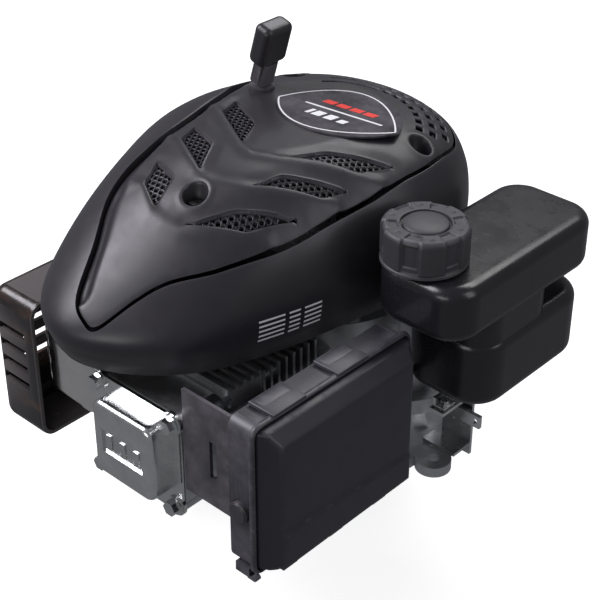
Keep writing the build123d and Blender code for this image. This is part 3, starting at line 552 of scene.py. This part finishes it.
def sheet(edge, holes, guides, pitch):
    """Points and triangles over an outline: holes left open, guide lines followed, the rest a grid."""
    points, segments, kept = [], [], {}

    def crowded(x, y, room):
        column, row = round(x / 2), round(y / 2)
        for i in (-1, 0, 1):
            for j in (-1, 0, 1):
                for other in kept.get((column + i, row + j), ()):
                    if math.hypot(other[0] - x, other[1] - y) < room:
                        return True
        return False

    def keep(x, y):
        points.append(Vector((x, y)))
        kept.setdefault((round(x / 2), round(y / 2)), []).append((x, y))

    def usable(x, y):
        return inside(x, y, edge) and not any(inside(x, y, loop) for loop in holes)

    for loop in [edge] + holes:
        first = len(points)
        for x, y in loop:
            keep(x, y)
        segments.extend((first + k, first + (k + 1) % len(loop)) for k in range(len(loop)))
    for loop in guides:
        for x, y in loop:
            if not crowded(x, y, 0.28) and usable(x, y):
                keep(x, y)
    low_x, high_x = min(p[0] for p in edge), max(p[0] for p in edge)
    low_y, high_y = min(p[1] for p in edge), max(p[1] for p in edge)
    for row in range(int((high_y - low_y) / pitch / 0.87) + 2):
        y = low_y + row * pitch * 0.87
        for column in range(int((high_x - low_x) / pitch) + 2):
            x = low_x + (column + row % 2 / 2) * pitch
            if not crowded(x, y, pitch / 2) and usable(x, y):
                keep(x, y)
    flat, _, triangles, _, _, _ = delaunay_2d_cdt(points, segments, [], 0, 1e-5)
    solid = []
    for corners in triangles:
        centre = sum((flat[i] for i in corners), Vector((0, 0))) / 3
        if usable(centre.x, centre.y):
            solid.append(tuple(corners))
    return flat, solid


def thicken(made, thickness):
    shell = made.modifiers.new("thickness", "SOLIDIFY")
    shell.thickness = thickness * MM
    shell.offset = -1


def cover():
    """The top cover: a thin moulded shell with its vents' floors cut out and its slots open."""
    edge = resample(grown(joint, -2.0), 2.2)
    holes = [resample(loop, 2.0) for loop in grille]
    holes += [resample(grown(loop, -1.5), 1.6) for loop in vents]
    holes += [circle(*place) for place in screw_places]
    guides = [resample(grown(edge, -by), 2.2) for by in (0.35, 0.9)]
    for loop in vents:
        guides += [resample(grown(loop, by), 1.8) for by in (-0.9, -0.3, 0.3, 1.2, 2.6)]
    guides += [resample(grown(loop, 0.5), 2.2) for loop in grille]
    guides += [circle(x, y, radius + by) for x, y, radius in screw_places for by in (0.5, 1.4, 2.6, 4.2)]
    for line in crest_lines:
        guides.append([tuple(curve_point(line, (len(line) - 1) * k / 60, False)) for k in range(61)])
    flat, solid = sheet(edge, holes, guides, 2.6)
    lens_edge = lens_outline(1.6)
    verts = []
    for p in flat:
        z = hood_height(p.x, p.y) + relief(p.x, p.y)
        rim = distance_to(p.x, p.y, edge)
        if rim < 1:
            z -= 0.5 * (1 - ease(rim, -0.4, 0.9))
        if inside(p.x, p.y, lens_edge):
            z = min(z, crown - 0.1)
        verts.append((p.x, p.y, z))
    made = piece("cover_skin", verts, solid, cover_black, "engine", angle=50)
    thicken(made, 2.6)
    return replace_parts(made, "top_cover")


def vent_screen(number, loop):
    """A perforated floor in one vent: hexagonal cells, each with a round hole."""
    verts, faces = [], []
    pitch, hole, depth = 4.3, 1.62, 1.8
    border = grown(loop, -0.9)
    xs = [p[0] for p in loop]
    ys = [p[1] for p in loop]

    def level(x, y):
        return hood_height(x, y) - 2.75

    sides = 12
    row = 0
    y = min(ys) - pitch
    while y < max(ys) + pitch:
        x = min(xs) - pitch + (pitch / 2 if row % 2 else 0)
        while x < max(xs) + pitch:
            if inside(x, y, border):
                first = len(verts)
                open_cell = distance_to(x, y, border) > 1.5
                for radius, sink in ((None, 0), (hole + 0.25, 0), (hole, 0.25), (hole, depth)):
                    for k in range(sides):
                        a = math.radians(30 + 360 * k / sides)
                        reach = radius
                        if radius is None:
                            off = (math.degrees(a) % 60) - 30
                            reach = pitch / 2 / math.cos(math.radians(off)) * 1.004
                        px, py = x + reach * math.cos(a), y + reach * math.sin(a)
                        verts.append((px, py, level(px, py) - sink))
                for ring in range(3):
                    for k in range(sides):
                        n = (k + 1) % sides
                        a, b = first + ring * sides, first + (ring + 1) * sides
                        faces.append((a + k, a + n, b + n, b + k))
                if not open_cell:
                    faces.append(tuple(first + 3 * sides + k for k in range(sides)))
            x += pitch
        y += pitch * 0.866
        row += 1
    return piece(f"vent_screen_{number}", verts, faces, cover_black, "engine", angle=40)


def screw_cup(number, x, y, radius):
    """The smooth well in which a cover screw sits."""
    top = hood_height(x, y) + relief(x + radius, y)
    profile = [(radius, 0.1), (radius - 0.35, -0.4), (radius - 0.6, -1.2), (radius - 1.0, -9.5),
               (radius - 1.8, -10.6), (2.9, -10.9), (2.9, -12.5)]
    turns = 40
    verts, faces = [], []
    for k in range(turns):
        a = 2 * math.pi * k / turns
        for r, (reach, z) in enumerate(profile):
            px, py = x + reach * math.cos(a), y + reach * math.sin(a)
            rim = hood_height(x + radius * math.cos(a), y + radius * math.sin(a)) + 0.35
            share = min(1, -z / 9) if z < 0 else 0
            verts.append((px, py, rim * (1 - share) + top * share + z))
    rows = len(profile)
    for k in range(turns):
        n = (k + 1) % turns
        for r in range(rows - 1):
            faces.append((k * rows + r, n * rows + r, n * rows + r + 1, k * rows + r + 1))
    return piece(f"screw_well_{number}", verts, faces, cover_black, "engine")


housing()
cover()
for number, loop in enumerate(vents):
    vent_screen(number + 1, loop)
for number, (x, y, radius) in enumerate(screw_places):
    screw_cup(number + 1, x, y, radius)


# ---- name plate -------------------------------------------------------------------
def ribbon(name, loop, width, z, thick, material):
    """A thin printed line along an outline."""
    outer = grown(loop, width / 2)
    inner = grown(loop, -width / 2)
    count = len(loop)
    verts = [(x, y, z) for x, y in outer] + [(x, y, z) for x, y in inner]
    verts += [(x, y, z + thick) for x, y in outer] + [(x, y, z + thick) for x, y in inner]
    faces = []
    for k in range(count):
        n = (k + 1) % count
        faces.append((2 * count + k, 2 * count + n, 3 * count + n, 3 * count + k))
        faces.append((k, n, 2 * count + n, 2 * count + k))
        faces.append((count + k, count + n, 3 * count + n, 3 * count + k))
    return piece(name, verts, faces, material, "engine")


def slanted_bar(name, x, y, length, width, z, material, lean=0.35, turn=0.11):
    """A plain slanted bar in place of print."""
    corners = [(-length / 2 - lean * width / 2, -width / 2), (length / 2 - lean * width / 2, -width / 2),
               (length / 2 + lean * width / 2, width / 2), (-length / 2 + lean * width / 2, width / 2)]
    loop = rounded(corners, 0.5, 3)
    c, s = math.cos(turn), math.sin(turn)
    loop = [(x + c * px - s * py, y + s * px + c * py) for px, py in loop]
    count = len(loop)
    verts = [(px, py, z) for px, py in loop] + [(px, py, z + 0.12) for px, py in loop]
    faces = [tuple(range(count, 2 * count))]
    faces += [(k, (k + 1) % count, count + (k + 1) % count, count + k) for k in range(count)]
    return piece(name, verts, faces, material, "engine")


plate_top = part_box("label_plate")[1].z / MM
ribbon("plate_border", lens_outline(-2.2), 1.1, plate_top - 0.02, 0.12, white_ink)
for number in range(4):
    slanted_bar(f"plate_bar_{number + 1}", -14 + number * 11, 16 + number, 9, 5, plate_top, red_ink)
slanted_bar("plate_line", 4, 8.5, 62, 1.6, plate_top, white_ink)
marks = [(-15, -3, 3, 7), (-8, -2.4, 7, 7), (2, -1.6, 7, 7), (12, -1.6, 6, 5)]
for number, (x, y, length, width) in enumerate(marks):
    slanted_bar(f"plate_mark_{number + 1}", x, y, length, width, plate_top, white_ink)


for number in range(5):
    for part, (start, end) in enumerate(((-127, -109), (-106, -98), (-95, -82))):
        level = 163 - number * 3.6
        verts, faces = [], []
        for k in range(9):
            y = start + (end - start) * k / 8
            for z in (level - 0.7, level + 0.7):
                spot = hood_skin.ray_cast(Vector((300, y, z)), Vector((-1, 0, 0)))[0]
                verts.append((spot.x + 0.12, y, z))
        faces = [(2 * k, 2 * k + 2, 2 * k + 3, 2 * k + 1) for k in range(8)]
        piece(f"side_mark_{number + 1}_{part + 1}", verts, faces, white_ink, "engine")


# ---- air cleaner --------------------------------------------------------------------
def brick(name, low, high, radius, material, body):
    """A block between two corners with every edge rounded."""
    bm = bmesh.new()
    bmesh.ops.create_cube(bm, size=1)
    for vert in bm.verts:
        vert.co = Vector([(a + b) / 2 + c * (b - a) for a, b, c in zip(low, high, vert.co)])
    bmesh.ops.bevel(bm, geom=bm.edges[:], offset=radius, segments=3, profile=0.5, affect="EDGES")
    bm.verts.index_update()
    verts = [tuple(v.co) for v in bm.verts]
    faces = [tuple(v.index for v in f.verts) for f in bm.faces]
    bm.free()
    return piece(name, verts, faces, material, body)


def soft_least(values, blend):
    """The least of several values, with a rounded corner where two of them cross."""
    low = min(values)
    return low - blend * math.log(sum(math.exp((low - value) / blend) for value in values))


air_low, air_high = (-201.0, 43.0), (-58.0, 155.0)
air_seam, air_front = 118.4, 136.0


def air_fold(y):
    """The height of the fold across the cover's face."""
    return 79 - 9 * (y - air_low[0]) / (air_high[0] - air_low[0])


def air_face(y, z, edge):
    """How far the cover's outer face stands along X."""
    depth = distance_to(y, z, edge)
    strip = air_seam + 3.6 * (1 - min(1, abs(depth - 1.6) / 1.6) ** 3)
    fold = air_fold(y)
    front = air_front - 1.5 * ease(z, fold - 0.9, fold + 0.9) - 0.03 * max(0, z - 120)
    body = soft_least([
        front, air_seam + 1 + (depth - 3.4) * 5, 125.5 + (151 - z) * 0.85,
        121.5 + (y - air_low[0] - 4) * 1.5, 121.5 + (air_high[0] - 4 - y) * 1.5,
        124 + (z - air_low[1] - 3) * 2.2,
    ], 0.45)
    return max(strip, body, air_seam + 0.8 if depth > 1 else air_seam)


def air_cover():
    corners = [(air_low[0], air_low[1]), (air_high[0], air_low[1]), (air_high[0], air_high[1]),
               (air_low[0], air_high[1])]
    edge = resample(rounded(corners, 9, 8), 1.8)
    guides = [resample(grown(edge, -by), 1.8) for by in (0.35, 0.9, 1.6, 2.4, 2.9, 3.3, 3.7, 4.4, 5.2, 6.0)]
    guides += [[(y, air_fold(y) + by) for y in range(-195, -62, 2)] for by in (-0.9, 0.9)]
    flat, faces = sheet(edge, [], guides, 1.7)
    verts = [(air_face(p.x, p.y, edge), p.x, p.y) for p in flat]
    made = piece("air_cover_skin", verts, faces, case_black, "air_cover", angle=60)
    thicken(made, 2.0)
    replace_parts(made, "air_cover")
    for number, y in enumerate((-183, -127)):
        brick(f"air_latch_{number + 1}", (101, y, 153.4), (121.6, y + 28, 156.2), 0.7, case_black,
              "air_cover")
        brick(f"air_latch_step_{number + 1}", (103.5, y + 3, 154), (112, y + 25, 156.4), 0.5, case_black,
              "air_cover")
    for number, y in enumerate((-181, -139, -97)):
        brick(f"air_tab_{number + 1}", (119, y, 39.0), (127, y + 13, 47), 0.6, case_black,
              "air_cover")


air_cover()


# ---- fuel cap -----------------------------------------------------------------------
def fuel_cap():
    """The screw cap: six raised pads with dimples, a groove and a low dome in the middle."""
    cx, cy = 110.0, -34.0
    turns = 240
    wall = [(25.5, 190.9, 0), (27.4, 190.8, 0), (28.3, 191.5, 0), (28.3, 192.8, 0), (27.6, 193.6, 0)]
    wall += [(28.4, 194.6 + k * 1.0, 1) for k in range(20)]
    wall += [(28.1, 215.0, 1), (27.3, 216.3, 1), (26.2, 216.9, 1)]
    top = [(25.6 - k * 0.65, 217.0, 2) for k in range(14)]
    middle = [(16.4, 216.6, 3), (16.0, 214.8, 3), (14.9, 214.6, 3), (14.5, 216.2, 3), (13.8, 216.8, 3),
              (11, 217.3, 3), (7, 217.7, 3), (3, 217.9, 3)]
    verts, faces = [], []
    profile = wall + top + middle
    for t in range(turns):
        turn = 2 * math.pi * t / turns
        off = abs((math.degrees(turn) + 12) % 60 - 30)
        pad = 1 - ease(off, 15.5, 18.5)
        panel = ease(off, 19.5, 20.5)
        for reach, z, zone in profile:
            if zone == 1:
                framed = panel * ease(z, 197.5, 198.3) * (1 - ease(z, 212.5, 213.3))
                reach -= 1.5 * (1 - pad) + 0.9 * framed
            if zone == 2:
                share = 1 - ease(reach, 16.8, 18.6)
                z -= 1.5 * (1 - pad) * (1 - share)
                reach = min(reach, 25.6 - 1.5 * (1 - pad))
                dimple = math.hypot(reach - 22.2, math.radians(off) * 22)
                z -= 0.9 * math.exp(-(dimple / 1.1) ** 2)
            verts.append((cx + reach * math.cos(turn), cy + reach * math.sin(turn), z))
    rows = len(profile)
    for t in range(turns):
        n = (t + 1) % turns
        for r in range(rows - 1):
            faces.append((t * rows + r, n * rows + r, n * rows + r + 1, t * rows + r + 1))
    faces.append(tuple(t * rows + rows - 1 for t in range(turns)))
    made = piece("fuel_cap_skin", verts, faces, cap_black, "fuel_cap", angle=38)
    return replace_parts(made, "fuel_cap")


fuel_cap()
for number in range(3):
    x = -9 + number * 13
    brick(f"cover_rib_{number + 1}", (x - 2.5, -200.7, 71), (x + 2.5, -199.4, 83), 0.5, zinc,
          "engine")


# ---- stage, light and camera --------------------------------------------------------
def stage():
    """A white floor under the engine, glowing so that only soft shadows mark it."""
    low = cad_box[0].z
    half = 6.0
    mesh = bpy.data.meshes.new("floor")
    mesh.from_pydata([(-half, -half, low), (half, -half, low), (half, half, low), (-half, half, low)], [],
                     [(0, 1, 2, 3)])
    floor = bpy.data.objects.new("floor", mesh)
    bpy.context.scene.collection.objects.link(floor)
    s = Surface("floor_white")
    s.color(s.mix(s.noise(1.5), (0.5, 0.5, 0.5), (0.54, 0.54, 0.54)))
    s.rough(s.span(s.noise(40.0), 0.3, 0.7, 0.75, 0.9))
    s.fixed(Emission_Color=(1, 1, 1, 1), Emission_Strength=0.78)
    mesh.materials.append(s.material)
    floor.visible_diffuse = False
    floor.visible_glossy = False


def lamp(name, azimuth, elevation, distance, size, power, tint=(1, 1, 1)):
    data = bpy.data.lights.new(name, "AREA")
    data.shape = "RECTANGLE"
    data.size, data.size_y = size
    data.energy = power
    data.color = tint
    made = bpy.data.objects.new(name, data)
    bpy.context.scene.collection.objects.link(made)
    a, e = math.radians(azimuth), math.radians(elevation)
    direction = Vector((math.sin(a) * math.cos(e), -math.cos(a) * math.cos(e), math.sin(e)))
    made.location = Vector((0.0, -0.05, 0.12)) + direction * distance
    made.rotation_euler = direction.to_track_quat("Z", "Y").to_euler()


stage()
lamp("key_left", -52, 44, 1.6, (1.0, 0.8), 26, (0.95, 0.93, 1.0))
lamp("front_low", 8, 14, 1.7, (0.9, 0.4), 5)
lamp("top_back", 190, 52, 1.5, (1.3, 0.5), 11)
lamp("fill_right", 100, 30, 1.9, (0.7, 1.2), 7, (0.95, 0.94, 1.0))
world = bpy.data.worlds.new("studio")
world.use_nodes = True
sky = world.node_tree.nodes["Background"]
sky.inputs["Color"].default_value = (0.94, 0.94, 1.0, 1)
sky.inputs["Strength"].default_value = 0.20
bpy.context.scene.world = world
bpy.context.scene.view_settings.view_transform = "Standard"

camera_distance = 0.966
azimuth, elevation = math.radians(42.9), math.radians(32.2)
back = Vector((math.sin(azimuth) * math.cos(elevation), -math.cos(azimuth) * math.cos(elevation),
               math.sin(elevation)))
target = Vector((0.033, -0.068, 0.150))
camera_data = bpy.data.cameras.new("camera")
camera_data.lens = 88.4
camera_data.sensor_width = 36
camera_data.shift_x = 0.005
camera_data.shift_y = -0.0167
camera = bpy.data.objects.new("camera", camera_data)
bpy.context.scene.collection.objects.link(camera)
camera.location = target + back * camera_distance
camera.rotation_euler = back.to_track_quat("Z", "Y").to_euler()
bpy.context.scene.camera = camera
